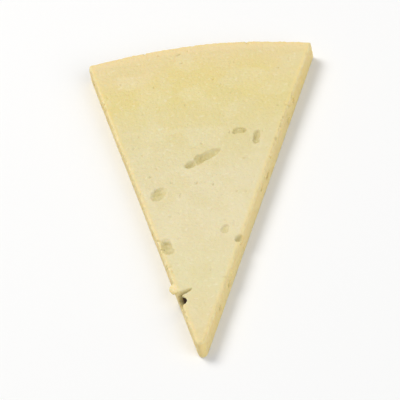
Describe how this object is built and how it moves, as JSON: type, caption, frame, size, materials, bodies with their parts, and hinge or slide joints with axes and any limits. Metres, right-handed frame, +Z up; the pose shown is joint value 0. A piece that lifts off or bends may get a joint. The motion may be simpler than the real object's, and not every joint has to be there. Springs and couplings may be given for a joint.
{
  "type": "manchego cheese slice",
  "caption": "Thin rindless triangular slice cut from a wheel of firm cheese, with small irregular eyes, blunt point and gently rounded broad end.",
  "frame": {"origin": "on the surface the slice lies on, under the middle of its length and width", "axes": "+Y from the point to the broad round end, +Z up through the thickness, +X to the right seen from the point"},
  "size_m": [0.0476, 0.092, 0.0044],
  "materials": {
    "cheese_paste": "pale straw-yellow cut cheese paste with a soft waxy sheen"
  },
  "bodies": {
    "root": {"cheese_slice": "cheese_paste"}
  },
  "joints": []
}
